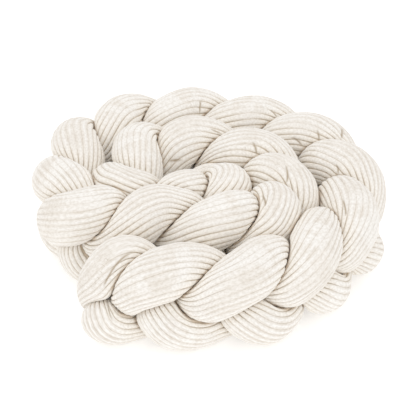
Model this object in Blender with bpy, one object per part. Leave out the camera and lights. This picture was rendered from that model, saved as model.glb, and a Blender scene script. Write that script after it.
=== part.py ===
"""Braided crib bumper, wound up into a low round coil.

Three long tubes of corduroy, each filled with fibre and closed to a point at both ends, are
plaited together. The plait stands on its edge and winds a little more than twice round itself,
from its pointed outer end at the front left, anticlockwise seen from above, to its inner end,
which is tucked down in the middle.

Along the plait everything is counted in lobes: a lobe is the stretch from one tube's bend over
the top edge to the next tube's. Each tube swings up and down once in three lobes and in and out
twice, so it passes over one neighbour and under the other in turn. It is then filled out, ring
by ring, until its section has the area of the stuffing, and where it meets another tube, itself
or the floor the cloth lies flat against it.

Frame: metres, +Z up, the origin on the floor under the middle of the coil's box, the front to -Y.
"""

import math
from typing import NamedTuple

import bpy
import numpy as np

# ---- the stuffed tubes (metres) ----
TUBE_NAMES = ("strand_a", "strand_b", "strand_c")
TUBE_RADIUS = 0.0330            # of the round section that holds the same stuffing
BULGE_RADIUS = 0.0352           # the most that a pressed tube swells into free space
END_TAPER = 0.055               # length over which a tube's end closes
END_RADIUS_SHARE = 0.12         # what is left of the radius where it is sewn shut
CLOTH_GAP = 0.0012              # between two tubes that press on each other
SOLID_GAP = 0.0007              # the least that is left between their flat faces
PRESS_SHARPNESS = 20.0          # how abruptly a round side turns into a pressed one
TIGHTEST_BEND_SHARE = 0.9       # of the bend's own radius, on the inside of a bend
CREAM = (0.80, 0.74, 0.66, 1.0)
CLOTH_ROUGHNESS = 0.95

# ---- the plait (metres) ----
FOOT_HEIGHT = 0.0300            # of a tube's centre where it passes along the floor
CREST_SHARPENING = 0.0040       # a tube dwells lower down and turns sharply over the top
SWING_IN_OUT = 0.0140           # to each side of the plait's middle
TRAIL_AT_FOOT = 0.024           # how far the lower bends lag behind the upper ones
GATHER_LOBES = 0.7              # stretch at each end over which the tubes draw together
GATHERED_SHARE = 0.15           # of the swing, left at the very end
FIRST_LOBE = 0.5
LAST_LOBE = 24.75
FLOOR_PRESS = 0.0022            # how far the cloth is pressed flat under its own weight

# ---- how finely it is worked out ----
STEPS_PER_LOBE = 24             # rings
RAYS = 48                       # points round a ring
RING_EVERY = 4                  # the solid keeps every fourth ring,
END_RING_EVERY = 2              # every second one near the ends,
SIDE_EVERY = 3                  # and every third point round it
SAME_TUBE_LOBES = 1.6           # nearer than this, a tube doesn't press on itself
PRESSING_REACH = 0.14           # centre lines further off than this (metres) don't press
CLEARING_REACH = 0.085          # nor do those further off than this touch
CLEARING_PASSES = 6
FARTHEST = 1.0                  # stands for no limit (metres)
LEAST_ROOM = 0.002


class Stop(NamedTuple):
    """One row of the plait's course, at a lobe."""

    lobe: float     # counted from the outer end
    right: float    # millimetres that the plait's middle lies to the right of the course's origin
    back: float     # millimetres that it lies back from it
    crest: float    # millimetres up to the upper tube's centre
    lean: float     # degrees that the plait's top edge leans in towards the coil


COURSE = (
    Stop(0.5, -154, -152, 60, 12),
    Stop(1, -117, -157, 95, 11),
    Stop(2, -38, -168, 99, 8),
    Stop(3, 60, -160, 99, 4),
    Stop(4, 136, -105, 98, 2),
    Stop(5, 186, -32, 98, 2),
    Stop(6, 187, 60, 100, 0),
    Stop(7, 142, 138, 102, 2),
    Stop(8, 60, 187, 102, 5),
    Stop(9, -38, 205, 103, 5),
    Stop(10, -128, 178, 102, 0),
    Stop(11, -181, 103, 104, -6),
    Stop(12, -186, 7, 107, -5),
    Stop(13, -150, -53, 116, -20),
    Stop(14, -68, -60, 115, -2),
    Stop(15, 28, -78, 115, 2),
    Stop(16, 86, -55, 110, 0),
    Stop(17, 98, 12, 111, 0),
    Stop(18, 58, 78, 113, 0),
    Stop(19, -26, 106, 113, 0),
    Stop(20, -98, 78, 113, 0),
    Stop(21, -106, -17, 111, 0),
    Stop(22, -38, -27, 110, 0),
    Stop(23, 24, -2, 108, 0),
    Stop(24, 2, 42, 78, 0),
    Stop(24.8, -50, 38, 56, 0),
)


def smooth_along(values, width):
    """Even out values from ring to ring with a bell curve of the given width in rings."""
    half = int(math.ceil(3 * width))
    bell = np.exp(-0.5 * (np.arange(-half, half + 1) / width) ** 2)
    bell /= bell.sum()
    padded = np.concatenate([np.repeat(values[:1], half, 0), values, np.repeat(values[-1:], half, 0)])
    return sum(share * padded[k:k + len(values)] for k, share in enumerate(bell))


def smooth_round(values, width):
    """Even out values round each ring with a bell curve of the given width in rays."""
    half = int(math.ceil(3 * width))
    bell = np.exp(-0.5 * (np.arange(-half, half + 1) / width) ** 2)
    bell /= bell.sum()
    return sum(share * np.roll(values, k - half, 1) for k, share in enumerate(bell))


def spline(knots, values, at):
    """Natural cubic spline through the rows of values at the knots, read at the places given."""
    count = len(knots)
    step = np.diff(knots)
    slope = np.diff(values, axis=0) / step[:, None]
    system = np.eye(count)
    wanted = np.zeros_like(values)
    for k in range(1, count - 1):
        system[k, k - 1:k + 2] = (step[k - 1], 2 * (step[k - 1] + step[k]), step[k])
        wanted[k] = 3 * (slope[k] - slope[k - 1])
    bend = np.linalg.solve(system, wanted)
    first = slope - step[:, None] * (2 * bend[:-1] + bend[1:]) / 3
    third = np.diff(bend, axis=0) / (3 * step[:, None])
    k = np.clip(np.searchsorted(knots, at) - 1, 0, count - 2)
    t = (at - knots[k])[:, None]
    return values[k] + first[k] * t + bend[k] * t ** 2 + third[k] * t ** 3


def unit(vectors):
    """Each vector at length one."""
    return vectors / np.linalg.norm(vectors, axis=-1, keepdims=True)


def lobe_places():
    """Where along the plait, in lobes, each ring stands."""
    count = int(round((LAST_LOBE - FIRST_LOBE) * STEPS_PER_LOBE)) + 1
    return np.linspace(FIRST_LOBE, LAST_LOBE, count)


def middle_line(lobes):
    """The plait's middle line, its swing, and the directions along, across and out through it."""
    course = np.array(COURSE, dtype=float)
    track = spline(course[:, 0], course[:, 1:], lobes)
    middle = track[:, :3] / 1000.0
    swing = (middle[:, 2] - FOOT_HEIGHT) / 2
    middle[:, 2] = FOOT_HEIGHT + swing - CREST_SHARPENING
    lean = np.radians(track[:, 3:4])
    heading = np.gradient(middle, axis=0)
    heading[:, 2] = 0.0
    heading = unit(heading)
    outward = np.stack([heading[:, 1], -heading[:, 0], 0 * heading[:, 0]], axis=1)
    upright = np.array([0.0, 0.0, 1.0])
    across = np.cos(lean) * upright - np.sin(lean) * outward
    through = np.cos(lean) * outward + np.sin(lean) * upright
    return middle, swing, heading, across, through


def tube_lines(lobes):
    """The centre line of each of the three tubes, plaited round the middle line."""
    middle, swing, heading, across, through = middle_line(lobes)
    gathered = np.minimum(lobes - FIRST_LOBE, LAST_LOBE - lobes) / GATHER_LOBES
    gathered = np.clip(gathered, 0.0, 1.0)
    gathered = GATHERED_SHARE + (1 - GATHERED_SHARE) * gathered ** 2 * (3 - 2 * gathered)
    lines = []
    for tube in range(3):
        phase = 2 * math.pi * (lobes + tube) / 3 + math.pi / 2
        rise = swing * np.sin(phase) + CREST_SHARPENING * np.sin(phase) ** 2
        shift = SWING_IN_OUT * np.sin(2 * phase)
        fallen = (1 - np.sin(phase)) / 2
        trail = -TRAIL_AT_FOOT * fallen ** 2
        offset = across * rise[:, None] + through * shift[:, None] + heading * trail[:, None]
        lines.append(middle + gathered[:, None] * offset)
    return lines


def carried_frames(line):
    """Directions along a centre line and two across it that don't turn about it."""
    along = unit(np.gradient(line, axis=0))
    side = np.zeros_like(line)
    side[0] = unit(np.cross(along[0], (0.3, 0.2, 1.0)))
    for k in range(1, len(line)):
        side[k] = unit(side[k - 1] - along[k] * np.dot(side[k - 1], along[k]))
    return along, side, np.cross(along, side)


def room_round(lines, tube):
    """How far each ray of a tube's rings can reach before it meets cloth or the floor."""
    line = lines[tube]
    along, side, up = carried_frames(line)
    angle = np.linspace(0, 2 * math.pi, RAYS, endpoint=False)
    rays = side[:, None] * np.cos(angle)[None, :, None] + up[:, None] * np.sin(angle)[None, :, None]
    points = np.concatenate(lines)
    owner = np.repeat(np.arange(3), [len(other) for other in lines])
    place = np.concatenate([np.arange(len(other)) for other in lines])
    window = SAME_TUBE_LOBES * STEPS_PER_LOBE
    room = np.full((len(line), RAYS), FARTHEST)
    for k, centre in enumerate(line):
        towards = points - centre
        squared = (towards ** 2).sum(axis=1)
        itself = (owner == tube) & (np.abs(place - k) <= window)
        near = (squared < PRESSING_REACH ** 2) & ~itself
        facing = np.maximum(rays[k] @ towards[near].T, 1e-6)
        room[k] = np.minimum(room[k], (squared[near] / (2 * facing)).min(axis=1) - CLOTH_GAP / 2)
    pace = np.linalg.norm(np.gradient(line, axis=0), axis=1)
    bend = smooth_along(np.gradient(along, axis=0) / pace[:, None], STEPS_PER_LOBE / 8)
    inwards = np.maximum((rays * bend[:, None]).sum(axis=2), 1e-3)
    room = np.minimum(room, TIGHTEST_BEND_SHARE / inwards)
    falling = np.maximum(-rays[:, :, 2], 1e-6)
    room = np.minimum(room, line[:, 2:3] / falling)
    return rays, np.maximum(room, LEAST_ROOM)


def end_share(line):
    """Share of the full radius along a tube, which closes to a point at both ends."""
    run = np.concatenate([[0.0], np.cumsum(np.linalg.norm(np.diff(line, axis=0), axis=1))])
    from_end = np.minimum(run, run[-1] - run) / END_TAPER
    round_end = np.sqrt(1 - (1 - np.clip(from_end, 0, 1)) ** 2)
    return END_RADIUS_SHARE + (1 - END_RADIUS_SHARE) * round_end


def fill_out(room, share):
    """Radius on each ray once the tube is stuffed: the free part swells, the rest is pressed."""
    area = math.pi * (TUBE_RADIUS * share) ** 2
    low = 0.2 * BULGE_RADIUS * share
    high = BULGE_RADIUS * share
    for _ in range(22):
        middle = (low + high) / 2
        radius = (middle[:, None] ** -PRESS_SHARPNESS + room ** -PRESS_SHARPNESS)
        radius = radius ** (-1 / PRESS_SHARPNESS)
        too_big = (radius ** 2).sum(axis=1) * math.pi / RAYS > area
        high = np.where(too_big, middle, high)
        low = np.where(too_big, low, middle)
    return radius


def tube_surfaces():
    """The rings of points of each tube, finely, and the tubes' centre lines."""
    lines = tube_lines(lobe_places())
    surfaces = []
    for tube, line in enumerate(lines):
        rays, room = room_round(lines, tube)
        radius = fill_out(room, end_share(line))
        radius = smooth_round(smooth_along(radius, 1.0), 0.5)
        rings = line[:, None] + radius[:, :, None] * rays
        rings[:, :, 2] = np.maximum(rings[:, :, 2] - FLOOR_PRESS, 0.0)
        surfaces.append(rings)
    return surfaces, lines


def ring_picks(count):
    """Which of the fine rings the solid keeps: more of them where a tube closes to its point."""
    ends = list(range(0, STEPS_PER_LOBE, END_RING_EVERY))
    middle = list(range(STEPS_PER_LOBE, count - STEPS_PER_LOBE, RING_EVERY))
    return ends + middle + [count - 1 - k for k in reversed(ends)]


def nearest(samples, points):
    """Distance from each sample to the nearest of the points."""
    if not len(points):
        return np.full(len(samples), FARTHEST)
    squared = (samples ** 2).sum(axis=1)[:, None] + (points ** 2).sum(axis=1) - 2 * samples @ points.T
    return np.sqrt(np.maximum(squared.min(axis=1), 0.0))


def crowding(samples, tube, ring, lines):
    """How much too near to another tube, or to another turn of its own, each sample lies."""
    own = lines[tube]
    window = int(SAME_TUBE_LOBES * STEPS_PER_LOBE)
    near_own = own[max(0, ring - window):ring + window + 1]
    others = [line for k, line in enumerate(lines) if k != tube]
    others += [own[:max(0, ring - window)], own[ring + window + 1:]]
    others = np.concatenate(others)
    others = others[((others - own[ring]) ** 2).sum(axis=1) < CLEARING_REACH ** 2]
    return np.maximum(SOLID_GAP - (nearest(samples, others) - nearest(samples, near_own)), 0.0)


def clear_neighbours(kept, picks, tube, lines):
    """Draw in the corners of any face that would reach across to another tube's cloth."""
    centres = lines[tube][picks][:, None]
    kept = kept.copy()
    for _ in range(CLEARING_PASSES):
        beside = np.roll(kept, -1, axis=1)
        onward = np.concatenate([kept[1:], kept[-1:]])
        onward_beside = np.roll(onward, -1, axis=1)
        samples = np.stack([kept, (kept + beside) / 2, (kept + onward) / 2, (kept + onward_beside) / 2,
                            (beside + onward) / 2], axis=2)
        excess = np.array([
            crowding(samples[k].reshape(-1, 3), tube, pick, lines).reshape(-1, 5)
            for k, pick in enumerate(picks)])
        face = excess.max(axis=2)
        draw = np.maximum(face, np.roll(face, 1, axis=1))
        draw[1:] = np.maximum(draw[1:], draw[:-1])
        away = kept - centres
        length = np.linalg.norm(away, axis=2, keepdims=True)
        kept -= away / length * np.minimum(0.6 * draw[:, :, None], 0.3 * length)
    return kept


def corduroy():
    """The cream cloth of one tube."""
    material = bpy.data.materials.new("cream_corduroy")
    material.use_nodes = True
    shader = material.node_tree.nodes["Principled BSDF"]
    shader.inputs["Base Color"].default_value = CREAM
    shader.inputs["Roughness"].default_value = CLOTH_ROUGHNESS
    shader.inputs["Metallic"].default_value = 0.0
    return material


def build_tube(name, rings):
    """One closed tube: its rings joined by four-sided faces, and a point at each end."""
    count, sides = rings.shape[:2]
    points = [tuple(point) for point in rings.reshape(-1, 3)]
    faces = []
    for k in range(count - 1):
        for side in range(sides):
            beside = (side + 1) % sides
            faces.append((k * sides + side, k * sides + beside,
                          (k + 1) * sides + beside, (k + 1) * sides + side))
    points += [tuple(rings[0].mean(axis=0)), tuple(rings[-1].mean(axis=0))]
    last = (count - 1) * sides
    for side in range(sides):
        beside = (side + 1) % sides
        faces.append((beside, side, len(points) - 2))
        faces.append((last + side, last + beside, len(points) - 1))
    mesh = bpy.data.meshes.new(name)
    mesh.from_pydata(points, [], faces)
    mesh.materials.append(corduroy())
    mesh.shade_smooth()
    tube = bpy.data.objects.new(name, mesh)
    bpy.context.collection.objects.link(tube)
    return tube


def centred(tubes):
    """The tubes moved sideways so that the origin lies under the middle of their box."""
    points = np.concatenate([rings.reshape(-1, 3) for rings in tubes])
    middle = (points.min(axis=0) + points.max(axis=0)) / 2
    middle[2] = 0.0
    return [rings - middle for rings in tubes]


def main():
    """Clear the scene and build the three plaited tubes."""
    for thing in list(bpy.data.objects):
        bpy.data.objects.remove(thing)
    surfaces, lines = tube_surfaces()
    picks = ring_picks(len(lines[0]))
    solids = [clear_neighbours(rings[picks][:, ::SIDE_EVERY], picks, tube, lines)
              for tube, rings in enumerate(surfaces)]
    for name, rings in zip(TUBE_NAMES, centred(solids)):
        build_tube(name, rings)


if __name__ == "__main__":
    main()
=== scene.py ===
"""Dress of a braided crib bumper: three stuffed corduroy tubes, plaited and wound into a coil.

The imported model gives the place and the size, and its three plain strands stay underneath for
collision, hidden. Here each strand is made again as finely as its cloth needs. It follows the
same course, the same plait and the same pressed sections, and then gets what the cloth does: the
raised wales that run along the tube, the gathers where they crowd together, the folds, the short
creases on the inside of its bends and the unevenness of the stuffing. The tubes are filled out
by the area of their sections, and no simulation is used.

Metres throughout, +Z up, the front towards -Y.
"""

import logging
import math
from dataclasses import dataclass, field
from enum import Enum
from typing import NamedTuple

import bpy
import numpy as np
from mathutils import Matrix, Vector


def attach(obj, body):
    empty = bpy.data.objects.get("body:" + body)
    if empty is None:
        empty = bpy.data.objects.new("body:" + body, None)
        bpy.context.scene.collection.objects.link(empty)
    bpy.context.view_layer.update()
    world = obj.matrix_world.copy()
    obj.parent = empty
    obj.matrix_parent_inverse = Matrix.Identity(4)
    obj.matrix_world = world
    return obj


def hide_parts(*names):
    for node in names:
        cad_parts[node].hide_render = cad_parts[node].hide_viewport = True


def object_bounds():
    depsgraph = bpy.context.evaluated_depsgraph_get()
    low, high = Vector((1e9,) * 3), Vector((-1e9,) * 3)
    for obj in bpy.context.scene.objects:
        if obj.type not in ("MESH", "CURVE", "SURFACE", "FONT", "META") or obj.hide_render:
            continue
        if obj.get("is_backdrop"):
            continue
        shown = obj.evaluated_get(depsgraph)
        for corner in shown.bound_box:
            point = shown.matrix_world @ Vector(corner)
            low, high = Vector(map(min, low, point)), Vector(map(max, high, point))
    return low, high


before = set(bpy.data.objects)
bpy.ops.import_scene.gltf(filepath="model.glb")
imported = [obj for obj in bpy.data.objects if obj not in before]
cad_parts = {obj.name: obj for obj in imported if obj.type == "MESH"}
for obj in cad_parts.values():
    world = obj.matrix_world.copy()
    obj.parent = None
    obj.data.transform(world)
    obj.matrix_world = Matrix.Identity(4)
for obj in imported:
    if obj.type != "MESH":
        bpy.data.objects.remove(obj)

Array = np.ndarray
Place = tuple[float, float, float]
Socket = bpy.types.NodeSocket
Fed = Socket | float | tuple[float, ...]
log = logging.getLogger("bumper")
UP = np.array([0.0, 0.0, 1.0])
MILLIMETRE = 0.001
NEARLY_NOUGHT = 1e-9                  # keeps what is divided by away from nought


class Strand(Enum):
    """The three strands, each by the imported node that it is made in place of."""

    A = "strand_a"
    B = "strand_b"
    C = "strand_c"

    @property
    def turn(self) -> int:
        """How many lobes this strand runs ahead of the first."""
        return list(Strand).index(self)


class Stop(NamedTuple):
    """One row of the plait's course, at a lobe.

    A lobe is the stretch from one strand's bend over the top edge to the next strand's.
    """

    lobe: float     # counted from the outer end
    right: float    # millimetres to the right of the course's own origin
    back: float     # millimetres back from it
    crest: float    # millimetres up to the upper strand's centre
    lean: float     # degrees that the top edge leans in towards the coil


COURSE = (
    Stop(0.5, -154, -152, 60, 12),
    Stop(1, -117, -157, 95, 11),
    Stop(2, -38, -168, 99, 8),
    Stop(3, 60, -160, 99, 4),
    Stop(4, 136, -105, 98, 2),
    Stop(5, 186, -32, 98, 2),
    Stop(6, 187, 60, 100, 0),
    Stop(7, 142, 138, 102, 2),
    Stop(8, 60, 187, 102, 5),
    Stop(9, -38, 205, 103, 5),
    Stop(10, -128, 178, 102, 0),
    Stop(11, -181, 103, 104, -6),
    Stop(12, -186, 7, 107, -5),
    Stop(13, -150, -53, 116, -20),
    Stop(14, -68, -60, 115, -2),
    Stop(15, 28, -78, 115, 2),
    Stop(16, 86, -55, 110, 0),
    Stop(17, 98, 12, 111, 0),
    Stop(18, 58, 78, 113, 0),
    Stop(19, -26, 106, 113, 0),
    Stop(20, -98, 78, 113, 0),
    Stop(21, -106, -17, 111, 0),
    Stop(22, -38, -27, 110, 0),
    Stop(23, 24, -2, 108, 0),
    Stop(24, 2, 42, 78, 0),
    Stop(24.8, -50, 38, 56, 0),
)


class Fold(NamedTuple):
    """A short sharp fold, mostly where a strand tucks under its neighbour."""

    strand: Strand
    lobe: float     # where it begins, along the plait
    wale: float     # and round the strand, counted in ribs
    to_lobe: float  # where it ends
    to_wale: float
    depth: float    # millimetres


FOLDS = (
    Fold(Strand.C, 1.17, 20.2, 0.94, 22.5, 2.5),
    Fold(Strand.A, 1.04, 15.3, 1.14, 15.6, 3.0),
    Fold(Strand.B, 4.87, 6.1, 4.69, 6.7, 3.0),
    Fold(Strand.A, 5.95, 20.2, 5.87, 19.4, 3.0),
    Fold(Strand.C, 6.70, 7.2, 6.64, 5.6, 2.5),
    Fold(Strand.C, 6.87, 3.3, 6.81, 2.2, 3.0),
    Fold(Strand.C, 7.12, 1.3, 7.04, 0.2, 3.0),
    Fold(Strand.B, 7.79, 21.1, 7.70, 20.4, 2.0),
    Fold(Strand.A, 8.86, 13.9, 8.89, 12.3, 2.0),
    Fold(Strand.C, 15.97, 8.0, 15.82, 9.2, 2.5),
    Fold(Strand.B, 16.93, 1.6, 16.80, 0.4, 3.0),
    Fold(Strand.A, 17.97, 10.2, 17.92, 9.1, 3.0),
    Fold(Strand.C, 18.82, 2.7, 18.71, 2.4, 2.0),
    Fold(Strand.C, 19.33, 21.8, 19.27, 20.8, 2.0),
)


class Span(NamedTuple):
    """From where a value begins to count to where it counts in full."""

    start: float
    full: float


def unit(vectors: Array) -> Array:
    """Each vector at length one."""
    return vectors / np.linalg.norm(vectors, axis=-1, keepdims=True)


def smooth_step(values: Array, over: Span) -> Array:
    """Let values rise softly from nought to one over a span."""
    share = np.clip((values - over.start) / (over.full - over.start), 0.0, 1.0)
    return share * share * (3 - 2 * share)


def smooth_along(values: Array, width: float) -> Array:
    """Even out values from ring to ring, under a bell curve.

    Args:
        values: one row for each ring.
        width: of the curve, in rings.

    Returns:
        The evened values, as many as came in.
    """
    half = int(math.ceil(3 * width))
    weights = np.exp(-0.5 * (np.arange(-half, half + 1) / width) ** 2)
    weights /= weights.sum()
    first = np.repeat(values[:1], half, axis=0)
    last = np.repeat(values[-1:], half, axis=0)
    padded = np.concatenate([first, values, last])
    return sum(share * padded[k:k + len(values)] for k, share in enumerate(weights))


def smooth_round(values: Array, width: float) -> Array:
    """Even out values round each ring, as the middle one of three turns."""
    turns = smooth_along(np.tile(values.T, (3, 1)), width)
    return turns[values.shape[1]:-values.shape[1]].T


def spline(knots: Array, values: Array, at: Array) -> Array:
    """Natural cubic spline through the rows of values at the knots.

    Args:
        knots: rising places, one for each row.
        values: the rows.
        at: the places to read.

    Returns:
        One row for each place read.
    """
    count = len(knots)
    step = np.diff(knots)
    slope = np.diff(values, axis=0) / step[:, None]
    system = np.eye(count)
    wanted = np.zeros_like(values)
    for k in range(1, count - 1):
        system[k, k - 1:k + 2] = (step[k - 1], 2 * (step[k - 1] + step[k]), step[k])
        wanted[k] = 3 * (slope[k] - slope[k - 1])
    bend = np.linalg.solve(system, wanted)
    first = slope - step[:, None] * (2 * bend[:-1] + bend[1:]) / 3
    third = np.diff(bend, axis=0) / (3 * step[:, None])
    k = np.clip(np.searchsorted(knots, at) - 1, 0, count - 2)
    t = (at - knots[k])[:, None]
    return values[k] + first[k] * t + bend[k] * t ** 2 + third[k] * t ** 3


@dataclass
class Tube:
    """One strand's centre line with the directions that its rings are laid out in."""

    strand: Strand
    lobes: Array                          # where each ring stands along the plait
    line: Array
    first_look: Place = (0.3, 0.2, 1.0)   # what its first ring lines up with
    along: Array = field(init=False)
    side: Array = field(init=False)
    up: Array = field(init=False)
    pace: Array = field(init=False)       # metres from ring to ring
    run: Array = field(init=False)        # and from the first ring to each

    def __post_init__(self) -> None:
        """Carry a pair of crosswise directions along the line without turning about it."""
        self.along = unit(np.gradient(self.line, axis=0))
        self.pace = np.linalg.norm(np.gradient(self.line, axis=0), axis=1)
        steps = np.linalg.norm(np.diff(self.line, axis=0), axis=1)
        self.run = np.concatenate([[0.0], np.cumsum(steps)])
        side = np.zeros_like(self.line)
        side[0] = unit(np.cross(self.along[0], self.first_look))
        for k in range(1, len(side)):
            turned = side[k - 1] - self.along[k] * np.dot(side[k - 1], self.along[k])
            side[k] = unit(turned)
        self.side = side
        self.up = np.cross(self.along, side)

    def rays(self, count: int) -> Array:
        """Evenly spread directions out from the line, a row of them for each ring."""
        angle = np.linspace(0, 2 * math.pi, count, endpoint=False)[None, :, None]
        return self.side[:, None] * np.cos(angle) + self.up[:, None] * np.sin(angle)

    def bend(self, width: float) -> Array:
        """How sharply, and towards what side, the line bends, evened over that many rings."""
        return smooth_along(np.gradient(self.along, axis=0) / self.pace[:, None], width)


@dataclass(frozen=True)
class Plait:
    """The plait's course and the three strands that wind about it."""

    first_lobe: float = 0.5
    last_lobe: float = 24.75
    rings_per_lobe: int = 28
    foot_height: float = 0.0300       # of a strand's centre where it passes along the floor
    crest_sharpening: float = 0.0040  # a strand dwells lower down and turns sharply over the top
    swing_in_out: float = 0.0140      # to each side of the plait's middle
    trail_at_foot: float = 0.024      # how far the lower bends lag behind the upper ones
    gather_lobes: float = 0.7         # stretch at each end over which the strands draw together
    gathered_share: float = 0.15      # of the swing, left at the very end

    def places(self) -> Array:
        """Where along the plait, in lobes, each ring stands."""
        count = int(round((self.last_lobe - self.first_lobe) * self.rings_per_lobe)) + 1
        return np.linspace(self.first_lobe, self.last_lobe, count)

    def middle(self, lobes: Array) -> tuple[Array, Array, Array, Array, Array]:
        """Follow the plait's middle line.

        Args:
            lobes: the places along it.

        Returns:
            The line, half the height between the bends, and the directions along, across and
            out through the plait.
        """
        course = np.array(COURSE, dtype=float)
        track = spline(course[:, 0], course[:, 1:], lobes)
        line = track[:, :3] * MILLIMETRE
        swing = (line[:, 2] - self.foot_height) / 2
        line[:, 2] = self.foot_height + swing - self.crest_sharpening
        lean = np.radians(track[:, 3:4])
        heading = np.gradient(line, axis=0)
        heading[:, 2] = 0.0
        heading = unit(heading)
        outward = np.stack([heading[:, 1], -heading[:, 0], 0 * heading[:, 0]], axis=1)
        across = np.cos(lean) * UP - np.sin(lean) * outward
        through = np.cos(lean) * outward + np.sin(lean) * UP
        return line, swing, heading, across, through

    def tubes(self) -> list[Tube]:
        """Wind the three strands about the middle line.

        Returns:
            The strands, in order.
        """
        lobes = self.places()
        middle, swing, heading, across, through = self.middle(lobes)
        from_end = np.minimum(lobes - self.first_lobe, self.last_lobe - lobes)
        drawn = smooth_step(from_end, Span(0.0, self.gather_lobes))
        drawn = self.gathered_share + (1 - self.gathered_share) * drawn
        tubes = []
        for strand in Strand:
            phase = 2 * math.pi * (lobes + strand.turn) / len(Strand) + math.pi / 2
            rise = swing * np.sin(phase) + self.crest_sharpening * np.sin(phase) ** 2
            shift = self.swing_in_out * np.sin(2 * phase)
            trail = -self.trail_at_foot * ((1 - np.sin(phase)) / 2) ** 2
            offset = across * rise[:, None] + through * shift[:, None] + heading * trail[:, None]
            tubes.append(Tube(strand, lobes, middle + drawn[:, None] * offset))
        return tubes


@dataclass(frozen=True)
class Stuffing:
    """How a strand's section fills out between its neighbours, itself and the floor."""

    radius: float = 0.0330            # of the round section that holds the same stuffing
    bulge: float = 0.0352             # the most that a pressed section swells into free space
    end_taper: float = 0.055          # length over which an end closes
    end_share: float = 0.12           # of the radius, left where an end is sewn shut
    cloth_gap: float = 0.0006         # between two strands that press on each other
    sharpness: float = 36.0           # how abruptly a round side turns into a pressed one
    tightest_share: float = 0.9       # of the bend's own radius, on the inside of a bend
    floor_press: float = 0.0022       # how far the cloth is pressed flat under its own weight
    own_lobes: float = 1.6            # nearer than this, a strand doesn't press on itself
    reach: float = 0.14               # centre lines further off than this don't press
    rays: int = 96                    # directions in which a section is measured
    no_limit: float = 1.0             # the room of a ray that meets nothing
    least_room: float = 0.002
    straight: float = 0.001           # per metre: a side that bends less doesn't limit its ray
    bend_evened: float = 1 / 8        # of a lobe, over which a bend is measured
    evened_along: float = 1 / 24      # of a lobe, over which the surface is evened
    evened_round: float = 1 / 96      # and of a turn
    thinnest: float = 0.2             # share of the bulge that a section swells to at least
    halvings: int = 22                # rounds of closing in on the area

    def rooms(self, tubes: list[Tube], tube: Tube, rings_per_lobe: int) -> Array:
        """Measure how far each ray of a strand's rings reaches before it meets something.

        Args:
            tubes: all three strands.
            tube: the one to measure.
            rings_per_lobe: rings in one lobe.

        Returns:
            The free length of each ray, a row for each ring.
        """
        rays = tube.rays(self.rays)
        points = np.concatenate([other.line for other in tubes])
        owner = np.repeat(np.arange(len(tubes)), len(tube.line))
        place = np.tile(np.arange(len(tube.line)), len(tubes))
        window = self.own_lobes * rings_per_lobe
        room = np.full(rays.shape[:2], self.no_limit)
        for k, centre in enumerate(tube.line):
            towards = points - centre
            squared = (towards ** 2).sum(axis=1)
            itself = (owner == tube.strand.turn) & (np.abs(place - k) <= window)
            near = (squared < self.reach ** 2) & ~itself
            facing = np.maximum(rays[k] @ towards[near].T, NEARLY_NOUGHT)
            halfway = (squared[near] / (2 * facing)).min(axis=1) - self.cloth_gap / 2
            room[k] = np.minimum(room[k], halfway)
        inwards = (rays * tube.bend(rings_per_lobe * self.bend_evened)[:, None]).sum(axis=2)
        room = np.minimum(room, self.tightest_share / np.maximum(inwards, self.straight))
        falling = np.maximum(-rays[:, :, 2], NEARLY_NOUGHT)
        room = np.minimum(room, tube.line[:, 2:3] / falling)
        return np.maximum(room, self.least_room)

    def taper(self, tube: Tube) -> Array:
        """Close a strand to a point at both ends.

        Args:
            tube: the strand.

        Returns:
            The share of the full radius at each ring.
        """
        from_end = np.minimum(tube.run, tube.run[-1] - tube.run)
        from_end = np.clip(from_end / self.end_taper, 0, 1)
        return self.end_share + (1 - self.end_share) * np.sqrt(1 - (1 - from_end) ** 2)

    def fill(self, room: Array, share: Array) -> Array:
        """Swell each section into its free room until it holds its stuffing.

        Args:
            room: the free length of each ray.
            share: of the full radius at each ring.

        Returns:
            The radius on each ray.
        """
        area = math.pi * (self.radius * share) ** 2
        low = self.thinnest * self.bulge * share
        high = self.bulge * share
        radius = room
        for _ in range(self.halvings):
            middle = (low + high) / 2
            pressed = middle[:, None] ** -self.sharpness + room ** -self.sharpness
            radius = pressed ** (-1 / self.sharpness)
            too_big = (radius ** 2).sum(axis=1) * math.pi / self.rays > area
            high = np.where(too_big, middle, high)
            low = np.where(too_big, low, middle)
        return radius

    def surface(self, tubes: list[Tube], tube: Tube, rings_per_lobe: int) -> Array:
        """Make the smooth surface of one strand.

        Args:
            tubes: all three strands.
            tube: the one to make.
            rings_per_lobe: rings in one lobe.

        Returns:
            Rings of points, each with its place and the share of its room that it takes up,
            which fades where the ends close.
        """
        room = self.rooms(tubes, tube, rings_per_lobe)
        share = self.taper(tube)
        radius = self.fill(room, share)
        radius = smooth_along(radius, rings_per_lobe * self.evened_along)
        radius = smooth_round(radius, self.rays * self.evened_round)
        taken = radius / room * share[:, None]
        rings = tube.line[:, None] + radius[:, :, None] * tube.rays(self.rays)
        rings[:, :, 2] = np.maximum(rings[:, :, 2] - self.floor_press, 0.0)
        return np.concatenate([rings, taken[:, :, None]], axis=2)


@dataclass(frozen=True)
class Unevenness:
    """A soft random pattern over a strand's surface, the same each time it is drawn."""

    longest: float      # wavelength along the strand
    shortest: float
    most_round: int     # waves round the strand
    waves: int = 24

    def over(self, seed: int, run: Array, angle: Array) -> Array:
        """Read the pattern.

        Args:
            seed: of its waves.
            run: metres along the strand.
            angle: round it, in radians.

        Returns:
            Values of about -1 to 1, of the two shapes combined.
        """
        rng = np.random.default_rng(seed)
        total = np.zeros(np.broadcast(run, angle).shape)
        for _ in range(self.waves):
            length = math.exp(rng.uniform(math.log(self.shortest), math.log(self.longest)))
            round_it = rng.integers(-self.most_round, self.most_round + 1)
            start = rng.uniform(0, 2 * math.pi)
            total += np.cos(2 * math.pi * run / length + round_it * angle + start)
        return total / math.sqrt(self.waves)


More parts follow.
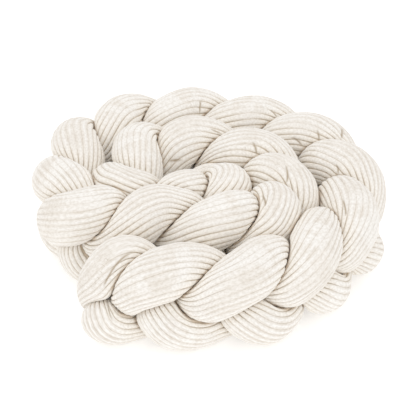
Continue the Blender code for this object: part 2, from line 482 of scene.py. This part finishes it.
class Carried(Enum):
    """What the cloth carries from point to point, for its colour to follow."""

    TAKEN = "taken"
    BESIDE_FOLD = "beside_fold"
    FOLD_STRENGTH = "fold_strength"


@dataclass(frozen=True)
class Corduroy:
    """What the cloth does over the smooth stuffed shape."""

    wales: int = 22                   # raised ribs round a strand
    across_wale: tuple[float, ...] = (0.0, 0.12, 0.29, 0.5, 0.71, 0.88)   # a rib's points
    below_crown: tuple[float, ...] = (1.0, 0.36, 0.07, 0.0, 0.07, 0.36)   # and their depths
    wale_depth: float = 0.00062       # from a rib's crown to the groove beside it
    twist: float = 4.8                # radians that the cloth turns about the strand in a metre
    crest_twist: float = 4.5          # and this much more where it bends over the top,
    crest_span: Span = Span(0.055, 0.100)     # by the height of the strand's centre
    gather_share: float = 0.5         # of the spare width that the ribs take up by rising
    most_spare: float = 0.6           # share of the loose girth that counts as spare at most
    deepest_groove: float = 0.0030    # that gathering makes
    groove_share: float = 0.12        # of a strand's radius, that gathering makes at most
    edge_depth: float = 0.0019        # how much deeper grooves are where the cloth is pressed
    edge_share: float = 0.08          # of a strand's radius, that this adds at most
    least_brushed: float = 0.45       # share of their height, left where they are brushed flat
    brush_span: Span = Span(-0.9, 0.9)        # from pile that lies flat to upright pile
    pressed_span: Span = Span(0.50, 0.88)     # share of its room that pressed cloth takes up
    wander: float = 0.22              # of a rib's width, that the ribs stray sideways
    straying: Unevenness = Unevenness(0.20, 0.05, 4)
    brushing: Unevenness = Unevenness(0.10, 0.035, 3)
    lumps: float = 0.0006             # of the stuffing
    lumping: Unevenness = Unevenness(0.12, 0.035, 3)
    ripples: float = 0.0005           # across the ribs where the cloth is shortened
    rippling: Unevenness = Unevenness(0.013, 0.008, 2)
    rippled_span: Span = Span(0.1, 0.5)       # share by which it is shortened
    bend_rings: float = 3.0           # over which a bend is evened
    most_squeeze: float = 0.85        # share by which cloth counts as shortened at most
    crease_bend: float = 12.0         # per metre: creases form where a strand bends more
    most_creases: int = 3             # in one bend
    crease_depth: float = 0.0045      # on the inside of a tight bend
    crease_depths: tuple[float, float] = (0.35, 1.0)   # shares of that
    crease_width: float = 0.0026
    crease_reach: float = 0.85        # radians to each side of the bend's inside
    crease_reaches: tuple[float, float] = (0.7, 1.2)   # shares of that
    crease_spread: float = 0.009      # metres along the strand
    crease_slant: float = 0.004       # metres along for each radian round it
    crease_lean: float = 0.35         # radians off the bend's inside
    crease_span: Span = Span(0.12, 0.45)      # share by which the cloth is shortened
    least_length: float = 0.25        # and the least share of its length that it keeps
    fold_width: float = 0.0030        # to each side of a fold's bottom
    fold_reach: float = 0.012         # beyond which nothing of a fold is left
    fold_span: Span = Span(-0.004, 0.003)     # metres inwards of its two ends
    most_cut: float = 0.5             # share of a strand's radius that all of this takes

    @property
    def sides(self) -> int:
        """Points round a ring."""
        return self.wales * len(self.across_wale)

    def places(self) -> Array:
        """Where round a ring the cloth's points lie, in wales."""
        return (np.arange(self.wales)[:, None] + np.array(self.across_wale)[None]).ravel()

    def turned(self, tube: Tube) -> Array:
        """How far the cloth has turned about the strand at each ring, as a share of a turn."""
        crest = smooth_step(tube.line[:, 2], self.crest_span)
        return np.cumsum((self.twist + self.crest_twist * crest) * tube.pace) / (2 * math.pi)

    def wrap(self, rings: Array, seed: int, tube: Tube) -> tuple[Array, Array]:
        """Lay the cloth's own points round each ring, wale by wale.

        Args:
            rings: the smooth surface.
            seed: of the ribs' wander.
            tube: the strand.

        Returns:
            The points with the share of its room that each takes up, and the length round
            each ring.
        """
        count, rays = rings.shape[:2]
        steps = np.linalg.norm(np.roll(rings, -1, axis=1)[:, :, :3] - rings[:, :, :3], axis=2)
        girth = steps.sum(axis=1)
        share = np.concatenate([np.zeros((count, 1)), np.cumsum(steps, axis=1)[:, :-1]], axis=1)
        share /= girth[:, None]
        share -= (share - np.arange(rays) / rays).mean(axis=1, keepdims=True)
        even = self.places() / self.wales
        stray = self.straying.over(seed, tube.run[:, None], 2 * math.pi * even[None])
        wanted = even[None] + self.turned(tube)[:, None] % 1.0 + stray * self.wander / self.wales
        points = np.empty((count, self.sides, 4))
        for k in range(count):
            own = np.concatenate([share[k] - 1, share[k], share[k] + 1, share[k] + 2])
            for axis in range(4):
                places = np.tile(rings[k, :, axis], 4)
                points[k, :, axis] = np.interp(wanted[k], own, places)
        return points, girth

    def ribs(self, girth: Array, full_girth: float, thickness: Array, pressed: Array,
             brushed: Array) -> Array:
        """Depth of each point below the ribs' crowns, deeper where the cloth is gathered.

        Args:
            girth: length round each ring.
            full_girth: length round the loose tube.
            thickness: mean radius of each ring.
            pressed: how closely each point is pressed.
            brushed: how the pile lies at each point, from -1, flat, to 1, upright.

        Returns:
            The depth, a row for each ring.
        """
        below = np.tile(self.below_crown, self.wales)
        spare = np.clip(1 - girth / full_girth, 0.0, self.most_spare)
        pitch = girth / self.wales
        gather = self.gather_share * 2 * pitch * np.sqrt(spare) / math.pi
        deep = np.minimum(self.wale_depth + gather, self.deepest_groove)
        deep = np.minimum(deep, self.groove_share * thickness)
        upright = smooth_step(brushed, self.brush_span)
        stands = self.least_brushed + (1 - self.least_brushed) * upright
        crowded = np.minimum(self.edge_depth, self.edge_share * thickness)[:, None] * pressed
        return below[None] * (deep[:, None] * stands + crowded)

    def creases(self, tube: Tube, squeeze: Array, inside: Array, seed: int) -> Array:
        """Depth of the short crosswise creases where a strand turns sharply.

        Args:
            tube: the strand.
            squeeze: share by which the cloth is shortened at each point.
            inside: angle of each point from the inside of the bend.
            seed: of the creases' places.

        Returns:
            The depth at each point.
        """
        rng = np.random.default_rng(seed)
        near = int(self.bend_rings)
        sharp = np.linalg.norm(tube.bend(self.bend_rings), axis=1)
        shortened = smooth_step(squeeze, self.crease_span)
        width = self.crease_width / np.clip(1 - squeeze, self.least_length, 1.0)
        depth = np.zeros_like(squeeze)
        for k in range(near, len(sharp) - near):
            if sharp[k] < max(sharp[k - near:k + near + 1].max(), self.crease_bend):
                continue
            for _ in range(rng.integers(1, self.most_creases + 1)):
                at = tube.run[k] + rng.normal(0.0, self.crease_spread)
                slant = rng.normal(0.0, self.crease_slant)
                lean = rng.normal(0.0, self.crease_lean)
                reach = self.crease_reach * rng.uniform(*self.crease_reaches)
                deep = self.crease_depth * rng.uniform(*self.crease_depths)
                off = (tube.run[:, None] - at - slant * inside) / width
                fade = np.exp(-((inside - lean) / reach) ** 4)
                depth += deep * fade * np.exp(-off ** 2) * shortened
        return depth

    def folds(self, tube: Tube, pitch: float) -> tuple[Array, Array, Array]:
        """Depth of a strand's own folds.

        Args:
            tube: the strand.
            pitch: a rib's width.

        Returns:
            The depth at each point, how far it lies to the side of the nearest fold, and how
            strong that fold is there.
        """
        depth = np.zeros((len(tube.run), self.sides))
        beside = np.full_like(depth, self.fold_reach)
        strength = np.zeros_like(depth)
        for fold in FOLDS:
            if fold.strand is not tube.strand:
                continue
            start, end = np.interp((fold.lobe, fold.to_lobe), tube.lobes, tube.run)
            turned = self.places() - fold.wale
            turned -= self.wales * np.round(turned / self.wales)
            ahead = tube.run[:, None] - start
            around = turned[None] * pitch
            way = np.array([end - start, (fold.to_wale - fold.wale) * pitch])
            length = np.linalg.norm(way)
            way /= length
            off = ahead * way[1] - around * way[0]
            past = np.abs(ahead * way[0] + around * way[1] - length / 2) - length / 2
            share = smooth_step(-past, self.fold_span) * (np.abs(off) < self.fold_reach)
            depth += fold.depth * MILLIMETRE * share * np.exp(-(off / self.fold_width) ** 2)
            beside = np.where(share > strength, off, beside)
            strength = np.maximum(strength, share)
        return depth, beside, strength

    def finish(self, tube: Tube, rings: Array, full_girth: float,
               seed: int) -> tuple[Array, dict[Carried, Array]]:
        """Turn a strand's smooth surface into its cloth.

        Args:
            tube: the strand.
            rings: its smooth surface.
            full_girth: length round the loose tube.
            seed: of everything uneven on this strand.

        Returns:
            The points of the finished cloth, a row for each ring, and what each carries.
        """
        run = tube.run[:, None]
        points, girth = self.wrap(rings, seed, tube)
        points, taken = points[:, :, :3], points[:, :, 3]
        out = points - tube.line[:, None]
        thickness = np.linalg.norm(out, axis=2)
        round_it = np.roll(points, -1, axis=1) - np.roll(points, 1, axis=1)
        onward = np.gradient(points, axis=0)
        normal = unit(np.cross(round_it, onward))
        normal *= np.sign((normal * out).sum(axis=2).mean())
        bend = tube.bend(self.bend_rings)
        squeeze = np.clip((out * bend[:, None]).sum(axis=2), 0.0, self.most_squeeze)
        inner = unit(bend + NEARLY_NOUGHT)
        sideways = np.cross(tube.along, inner)
        inside = np.arctan2((out * sideways[:, None]).sum(axis=2),
                            (out * inner[:, None]).sum(axis=2))
        around = 2 * math.pi * self.places()[None] / self.wales
        pressed = smooth_step(taken, self.pressed_span)
        brushed = self.brushing.over(seed + 4, run, around)
        folded, beside, strength = self.folds(tube, full_girth / self.wales)
        cut = self.ribs(girth, full_girth, thickness.mean(axis=1), pressed, brushed)
        cut = cut + folded + self.creases(tube, squeeze, inside, seed + 1)
        cut += self.lumps * np.abs(self.lumping.over(seed + 2, run, around))
        ripple = self.ripples * (1 + self.rippling.over(seed + 3, run, around))
        cut += ripple * smooth_step(squeeze, self.rippled_span)
        cut = np.minimum(cut, self.most_cut * thickness)
        points = points - normal * cut[:, :, None]
        points[:, :, 2] = np.maximum(points[:, :, 2], 0.0)
        return points, {Carried.TAKEN: taken, Carried.BESIDE_FOLD: beside,
                        Carried.FOLD_STRENGTH: strength}


class Blend(Enum):
    """How a colour is laid over another."""

    OVER = "MIX"
    THROUGH = "MULTIPLY"


class Sum(Enum):
    """The sums that the cloth's pattern is worked out with."""

    ADD = "ADD"
    TIMES = "MULTIPLY"
    LARGER = "MAXIMUM"
    SIZE = "ABSOLUTE"
    WAVE = "SINE"


class Colour(NamedTuple):
    """A colour, each part of it from 0 to 1."""

    red: float
    green: float
    blue: float
    opacity: float = 1.0


class Grain(NamedTuple):
    """A soft pattern in the pile, drawn out along the ribs or across them."""

    per_rib: float      # how often it changes for each rib across
    per_metre: float    # and for each metre along
    detail: float       # how many finer layers it has


class Relief(NamedTuple):
    """How a value stands out from the surface."""

    strength: float
    distance: float


def feed(node: bpy.types.Node, fed: dict[str | int, Fed]) -> bpy.types.Node:
    """Set a node's inputs, or link them to what other nodes give.

    Args:
        node: to feed.
        fed: a value or another node's output for each input, by its name or number.

    Returns:
        The node.
    """
    for name, given in fed.items():
        if isinstance(given, Socket):
            node.id_data.links.new(given, node.inputs[name])
        else:
            node.inputs[name].default_value = given
    return node


@dataclass
class Pattern:
    """A material's nodes, and the few kinds of step that its pattern is built from."""

    tree: bpy.types.NodeTree
    wale_map: str
    cloth: Socket = field(init=False)     # where a point lies on the cloth's own map
    place: Socket = field(init=False)     # and where in the bumper

    def __post_init__(self) -> None:
        """Find where each point lies, once, for every step that follows it."""
        self.cloth = self.node("ShaderNodeUVMap", {}, uv_map=self.wale_map).outputs["UV"]
        self.place = self.node("ShaderNodeTexCoord", {}).outputs["Object"]

    def node(self, kind: str, fed: dict[str | int, Fed], **settings: str) -> bpy.types.Node:
        """Add a node.

        Args:
            kind: of node.
            fed: what its inputs get.
            settings: of the node itself.

        Returns:
            The node.
        """
        node = self.tree.nodes.new(kind)
        for name, value in settings.items():
            setattr(node, name, value)
        return feed(node, fed)

    def read(self, what: Carried) -> Socket:
        """Read a value that the cloth carries."""
        return self.node("ShaderNodeAttribute", {}, attribute_name=what.value).outputs["Fac"]

    def part(self, at: Socket, axis: int) -> Socket:
        """Take one measure of a place."""
        return self.node("ShaderNodeSeparateXYZ", {0: at}).outputs[axis]

    def sum(self, kind: Sum, first: Socket, second: Socket | float = 0.0) -> Socket:
        """Work out one sum, with two values or with the first alone."""
        return self.node("ShaderNodeMath", {0: first, 1: second}, operation=kind.value).outputs[0]

    def span(self, value: Socket, over: Span) -> Socket:
        """Let a value rise from nought to one over a span, which may run downwards."""
        fed = {"Value": value, "From Min": over.start, "From Max": over.full}
        return self.node("ShaderNodeMapRange", fed).outputs["Result"]

    def laid(self, share: Socket, under: Socket | Colour, colour: Colour,
             how: Blend = Blend.OVER) -> Socket:
        """Lay a share of a colour over another."""
        fed = {0: share, 6: under, 7: colour}
        return self.node("ShaderNodeMix", fed, data_type="RGBA", blend_type=how.value).outputs[2]

    def noise(self, at: Socket, scale: float, detail: float) -> Socket:
        """Draw a soft random pattern, about a half on average."""
        fed = {"Vector": at, "Scale": scale, "Detail": detail}
        return self.node("ShaderNodeTexNoise", fed).outputs[0]

    def grain(self, kind: Grain) -> Socket:
        """Draw such a pattern on the cloth's own map."""
        fed = {"Vector": self.cloth, "Scale": (kind.per_rib, kind.per_metre, 1.0)}
        return self.noise(self.node("ShaderNodeMapping", fed).outputs["Vector"], 1.0, kind.detail)

    def rib_height(self) -> Socket:
        """Rise from nought at the bottom of each groove to one along the middle of each rib."""
        angle = self.sum(Sum.TIMES, self.part(self.cloth, 0), math.pi)
        return self.sum(Sum.SIZE, self.sum(Sum.WAVE, angle))

    def raised(self, height: Socket, relief: Relief, **over: Socket) -> Socket:
        """Let a value stand out from the surface, or from the Normal that it is given over."""
        fed = {"Strength": relief.strength, "Distance": relief.distance, "Height": height}
        return self.node("ShaderNodeBump", {**fed, **over}).outputs["Normal"]


@dataclass(frozen=True)
class CorduroyFinish:
    """Cream brushed corduroy: a mottled pile, painted highlights on the ribs, warmer painted
    shade in the grooves.
    """

    wale_map: str = "wales"           # the cloth's own map, which the pattern follows
    # painted highlight, laid on the ribs' crowns and on the rims where the cloth nears its
    # neighbours
    painted_highlight: Colour = Colour(0.93, 0.90, 0.855)
    nap: Colour = Colour(0.845, 0.79, 0.72)
    brushed: Colour = Colour(0.765, 0.70, 0.62)
    swept: Colour = Colour(0.885, 0.845, 0.79)
    # painted shade, darker and warmer, in the grooves between the ribs
    painted_groove_shade: Colour = Colour(0.58, 0.49, 0.385)
    # painted shade, a slight warm darkening where the cloth nears its neighbours
    painted_warm_shade: Colour = Colour(0.995, 0.965, 0.915)
    # painted shade, brown, in the crevices where strands press together
    painted_crevice_shade: Colour = Colour(0.68, 0.545, 0.40)
    # painted shade in the grooves where the cloth is packed closely
    painted_notch_shade: Colour = Colour(0.55, 0.44, 0.31)
    # painted shade along the bottom of each fold
    painted_crease_shade: Colour = Colour(0.40, 0.31, 0.21)
    shade: Colour = Colour(0.865, 0.845, 0.815)
    streaks: Grain = Grain(2.6, 130.0, 3.0)
    bands: Grain = Grain(0.22, 70.0, 1.0)
    band_weight: float = 1.6
    nap_span: Span = Span(1.06, 1.54)
    strokes: Grain = Grain(0.10, 60.0, 0.0)
    stroke_span: Span = Span(0.47, 0.53)
    patches: Grain = Grain(0.12, 9.0, 0.0)
    patch_span: Span = Span(0.50, 0.58)
    rim_light_span: Span = Span(0.35, 0.85)     # of the room taken, where the painted rim light lies, as the warm, crevice and notch shade
    rim_light_share: float = 0.85
    fading: Grain = Grain(0.40, 20.0, 2.0)
    held_by_room: float = 0.35        # how much closely packed cloth keeps its ribs
    fading_span: Span = Span(0.30, 0.75)
    low_span: Span = Span(0.080, 0.045)   # the height below which nothing rubs the ribs flat
    crown_highlight_span: Span = Span(0.70, 1.0)    # of the ribs' height, for the painted crown highlight, as groove and notch shade
    # spans of the painted shade: in the grooves, warm near neighbours, in crevices and in notches
    groove_shade_span: Span = Span(0.30, 0.0)
    warm_shade_span: Span = Span(0.45, 0.95)
    crevice_shade_span: Span = Span(0.95, 1.0)
    notch_shade_span: Span = Span(0.45, 0.10)
    notch_shade_room: Span = Span(0.52, 0.85)
    crease_span: Span = Span(0.0022, 0.0003)  # metres from a fold's bottom, over which the painted crease shade fades
    fleck: Grain = Grain(3.6, 400.0, 2.0)
    fleck_span: Span = Span(0.42, 0.60)
    fibre_scale: float = 1400.0
    fibre_detail: float = 2.0
    streak_relief: Relief = Relief(0.35, 0.0006)
    fibre_relief: Relief = Relief(0.25, 0.0003)
    roughness: float = 0.93
    gloss: float = 0.15
    sheen: float = 0.25
    sheen_roughness: float = 0.45
    sheen_tint: Colour = Colour(1.0, 0.97, 0.93)

    def material(self) -> bpy.types.Material:
        """Make the material, with its pattern on the cloth's own map.

        Returns:
            The material.
        """
        made = bpy.data.materials.new("cream_corduroy")
        made.use_nodes = True
        pattern = Pattern(made.node_tree, self.wale_map)
        streaks = pattern.grain(self.streaks)
        taken = pattern.read(Carried.TAKEN)
        colour = self.pile(pattern, streaks, taken)
        colour = self.wales(pattern, colour, taken)
        beside = pattern.sum(Sum.SIZE, pattern.read(Carried.BESIDE_FOLD))
        strength = pattern.read(Carried.FOLD_STRENGTH)
        # painted shade along the bottom of each fold
        painted_crease_shade = pattern.sum(Sum.TIMES, pattern.span(beside, self.crease_span), strength)
        colour = pattern.laid(painted_crease_shade, colour, self.painted_crease_shade)
        fleck = pattern.span(pattern.grain(self.fleck), self.fleck_span)
        feed(made.node_tree.nodes["Principled BSDF"], {
            "Base Color": pattern.laid(fleck, colour, self.shade, Blend.THROUGH),
            "Roughness": self.roughness,
            "Specular IOR Level": self.gloss,
            "Sheen Weight": self.sheen,
            "Sheen Roughness": self.sheen_roughness,
            "Sheen Tint": self.sheen_tint,
            "Normal": self.relief(pattern, streaks),
        })
        return made

    def pile(self, pattern: Pattern, streaks: Socket, taken: Socket) -> Socket:
        """Colour the pile: brushed darker and lighter, swept in patches, with painted light at
        the rims.

        Args:
            pattern: to draw with.
            streaks: that brushing leaves along the ribs.
            taken: the share of its room that the cloth takes up.

        Returns:
            The pile's colour, with the painted rim light.
        """
        bands = pattern.sum(Sum.TIMES, pattern.grain(self.bands), self.band_weight)
        nap = pattern.span(pattern.sum(Sum.ADD, streaks, bands), self.nap_span)
        colour = pattern.laid(nap, self.brushed, self.nap)
        strokes = pattern.span(pattern.grain(self.strokes), self.stroke_span)
        patches = pattern.span(pattern.grain(self.patches), self.patch_span)
        colour = pattern.laid(pattern.sum(Sum.TIMES, strokes, patches), colour, self.swept)
        # painted light at the rims, where the cloth nears its neighbours
        painted_rim_light = pattern.sum(Sum.TIMES, pattern.span(taken, self.rim_light_span), self.rim_light_share)
        return pattern.laid(painted_rim_light, colour, self.painted_highlight)

    def wales(self, pattern: Pattern, colour: Socket, taken: Socket) -> Socket:
        """Paint highlights on the ribs and shade in the grooves, which fade where the cloth is
        rubbed, and shade in the crevices and notches.

        Args:
            pattern: to draw with.
            colour: of the pile.
            taken: the share of its room that the cloth takes up.

        Returns:
            The colour with the painted highlights and painted shade.
        """
        height = pattern.rib_height()
        held = pattern.sum(Sum.TIMES, taken, self.held_by_room)
        kept = pattern.sum(Sum.ADD, pattern.grain(self.fading), held)
        low = pattern.span(pattern.part(pattern.place, 2), self.low_span)
        clear = pattern.sum(Sum.LARGER, pattern.span(kept, self.fading_span), low)
        # painted highlight along the middle of each rib's crown
        painted_crown_highlight = pattern.sum(Sum.TIMES, pattern.span(height, self.crown_highlight_span), clear)
        colour = pattern.laid(painted_crown_highlight, colour, self.painted_highlight)
        # painted shade at the bottom of each groove
        painted_groove_shade = pattern.sum(Sum.TIMES, pattern.span(height, self.groove_shade_span), clear)
        colour = pattern.laid(painted_groove_shade, colour, self.painted_groove_shade)
        # painted shade: a warm darkening where the cloth nears its neighbours
        painted_warm_shade = pattern.span(taken, self.warm_shade_span)
        colour = pattern.laid(painted_warm_shade, colour, self.painted_warm_shade, Blend.THROUGH)
        # painted shade in the crevices where strands press together
        colour = pattern.laid(pattern.span(taken, self.crevice_shade_span), colour, self.painted_crevice_shade)
        # painted shade in the grooves where the cloth is packed closely
        painted_notch_shade = pattern.sum(Sum.TIMES, pattern.span(height, self.notch_shade_span),
                            pattern.span(taken, self.notch_shade_room))
        return pattern.laid(painted_notch_shade, colour, self.painted_notch_shade)

    def relief(self, pattern: Pattern, streaks: Socket) -> Socket:
        """Raise the pile's fibres, finely, over the streaks that brushing leaves."""
        fibres = pattern.noise(pattern.place, self.fibre_scale, self.fibre_detail)
        return pattern.raised(fibres, self.fibre_relief,
                              Normal=pattern.raised(streaks, self.streak_relief))


@dataclass
class Bumper:
    """The whole plaited coil: its three strands, made and dressed."""

    plait: Plait = Plait()
    stuffing: Stuffing = Stuffing()
    cloth: Corduroy = Corduroy()
    finish: CorduroyFinish = CorduroyFinish()
    fill: float = 0.8                 # of each strand, from 0, slack, to 1, tight
    seed: int = 4100                  # of everything uneven on the first strand
    seed_step: int = 10               # from one strand's to the next

    def build(self, low: Vector, high: Vector) -> list[bpy.types.Object]:
        """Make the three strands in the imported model's box.

        Args:
            low: the box's lowest corner.
            high: its highest corner.

        Returns:
            The pieces, in the strands' order.
        """
        tubes = self.plait.tubes()
        full_girth = 2 * math.pi * self.stuffing.radius
        smooth = [self.stuffing.surface(tubes, tube, self.plait.rings_per_lobe)
                  for tube in tubes]
        every = np.concatenate([rings[:, :, :3].reshape(-1, 3) for rings in smooth])
        shift = (np.array(low) + np.array(high) - every.min(axis=0) - every.max(axis=0)) / 2
        shift[2] = 0.0
        material = self.finish.material()
        pieces = []
        for tube, rings in zip(tubes, smooth):
            seed = self.seed + self.seed_step * tube.strand.turn
            points, carried = self.cloth.finish(tube, rings, full_girth, seed)
            piece = self.strand(tube, points + shift, material)
            for what, values in carried.items():
                self.lay_shade(piece.data, what, values)
            pieces.append(piece)
        return pieces

    def strand(self, tube: Tube, points: Array,
               material: bpy.types.Material) -> bpy.types.Object:
        """Args:
            tube: the strand.
            points: its rings.
            material: its cloth.

        Returns:
            The finished piece.
        """
        count, sides = points.shape[:2]
        place = np.arange(count * sides).reshape(count, sides)
        beside = np.roll(place, -1, axis=1)
        quads = np.stack([place[:-1], beside[:-1], beside[1:], place[1:]], axis=2).reshape(-1, 4)
        first = count * sides
        last = first + 1
        caps = [(int(b), int(a), first) for a, b in zip(place[0], beside[0])]
        caps += [(int(a), int(b), last) for a, b in zip(place[-1], beside[-1])]
        corners = points.reshape(-1, 3).tolist()
        corners += [points[0].mean(axis=0).tolist(), points[-1].mean(axis=0).tolist()]
        node = tube.strand.value
        mesh = bpy.data.meshes.new(node + "_cloth")
        mesh.from_pydata(corners, [], quads.tolist() + caps)
        self.lay_map(mesh, tube.run)
        mesh.materials.append(material)
        mesh.shade_smooth()
        piece = bpy.data.objects.new(node + "_cloth", mesh)
        bpy.context.scene.collection.objects.link(piece)
        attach(piece, "root")
        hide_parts(node)
        return piece

    def lay_map(self, mesh: bpy.types.Mesh, run: Array) -> None:
        """Give the cloth its own map: ribs round the strand, metres along it.

        Args:
            mesh: the strand's.
            run: metres along the strand, for each ring.
        """
        across = np.append(self.cloth.places(), self.cloth.wales)
        left, near = np.meshgrid(across[:-1], run[:-1])
        right, far = np.meshgrid(across[1:], run[1:])
        quads = np.stack([left, near, right, near, right, far, left, far], axis=2).reshape(-1)
        laid = [quads]
        one, other = across[:-1], across[1:]
        for at, first, second in ((run[0], other, one), (run[-1], one, other)):
            fixed = np.full(self.cloth.sides, at)
            end = np.stack([first, fixed, second, fixed, (one + other) / 2, fixed], axis=1)
            laid.append(end.reshape(-1))
        layer = mesh.uv_layers.new(name=self.finish.wale_map)
        layer.data.foreach_set("uv", np.concatenate(laid).astype(np.float32))

    def lay_shade(self, mesh: bpy.types.Mesh, what: Carried, values: Array) -> None:
        """Let the cloth carry a value from point to point.

        Args:
            mesh: the strand's.
            what: it is.
            values: one for each point, a row for each ring.
        """
        layer = mesh.attributes.new(what.value, "FLOAT", "POINT")
        ends = [values[0].mean(), values[-1].mean()]
        layer.data.foreach_set("value", np.append(values.ravel(), ends).astype(np.float32))


@dataclass(frozen=True)
class Studio:
    """A plain pale floor, soft light all round, and the camera."""

    floor_size: float = 8.0
    floor_colour: Colour = Colour(0.93, 0.93, 0.925)
    floor_roughness: float = 0.9
    floor_gloss: float = 0.1
    floor_glow: float = 0.30          # so that the floor stays evenly white
    white: Colour = Colour(1.0, 1.0, 1.0)
    sky: float = 0.90
    gamma: float = 1.42
    key_power: float = 5.6            # from above
    key_place: Place = (-0.30, 0.10, 1.8)
    fill_power: float = 2.6           # from the front
    fill_place: Place = (0.10, -1.30, 1.10)
    lamp_size: float = 1.6
    lit_point: Place = (0.0, 0.0, 0.05)
    aim: Place = (-0.0007, -0.0122, 0.0687)
    distance: float = 1.5             # of the camera from the point it looks at
    elevation: float = 36.0           # degrees that it looks down
    lens: float = 96.15               # millimetres

    def floor(self) -> bpy.types.Object:
        """Lay the floor under the bumper.

        Returns:
            The floor.
        """
        bpy.ops.mesh.primitive_plane_add(size=self.floor_size, location=(0.0, 0.0, 0.0))
        floor = bpy.context.object
        floor.name = "floor"
        paint = bpy.data.materials.new("pale_floor")
        paint.use_nodes = True
        feed(paint.node_tree.nodes["Principled BSDF"], {
            "Base Color": self.floor_colour,
            "Roughness": self.floor_roughness,
            "Specular IOR Level": self.floor_gloss,
            "Emission Color": self.white,
            "Emission Strength": self.floor_glow,
        })
        floor.data.materials.append(paint)
        floor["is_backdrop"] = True
        return floor

    def lamp(self, name: str, power: float, place: Place) -> None:
        """Hang one large soft light, turned towards the bumper.

        Args:
            name: of the light.
            power: in watts.
            place: where it hangs.
        """
        data = bpy.data.lights.new(name, "AREA")
        data.energy = power
        data.size = self.lamp_size
        lamp = bpy.data.objects.new(name, data)
        lamp.location = place
        aim = Vector(self.lit_point) - lamp.location
        lamp.rotation_euler = aim.to_track_quat("-Z", "Y").to_euler()
        bpy.context.scene.collection.objects.link(lamp)

    def lights(self) -> None:
        """Light it from above and a little from the front, in an even white surround."""
        scene = bpy.context.scene
        world = bpy.data.worlds.new("surround")
        world.use_nodes = True
        feed(world.node_tree.nodes["Background"], {"Color": self.white, "Strength": self.sky})
        scene.world = world
        self.lamp("key", self.key_power, self.key_place)
        self.lamp("fill", self.fill_power, self.fill_place)
        scene.view_settings.view_transform = "Standard"
        scene.view_settings.gamma = self.gamma

    def camera(self) -> None:
        """Stand the camera in front, looking down at the coil."""
        data = bpy.data.cameras.new("camera")
        data.lens = self.lens
        camera = bpy.data.objects.new("camera", data)
        bpy.context.scene.collection.objects.link(camera)
        tilt = math.radians(self.elevation)
        back = Vector((0.0, -math.cos(tilt), math.sin(tilt)))
        camera.location = Vector(self.aim) + back * self.distance
        camera.rotation_euler = (-back).to_track_quat("-Z", "Y").to_euler()
        bpy.context.scene.camera = camera


def main() -> None:
    """Dress the bumper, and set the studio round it."""
    logging.basicConfig(level=logging.INFO, format="%(name)s: %(message)s")
    log.info("made in place of %s", ", ".join(sorted(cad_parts)))
    low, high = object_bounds()
    for thing in bpy.context.selected_objects:
        thing.select_set(False)
    studio = Studio()
    studio.camera()
    for piece in Bumper().build(low, high):
        log.info("%s: %d faces", piece.name, len(piece.data.polygons))
    log.info("floor: %s", studio.floor().name)
    studio.lights()


if __name__ == "__main__":
    main()
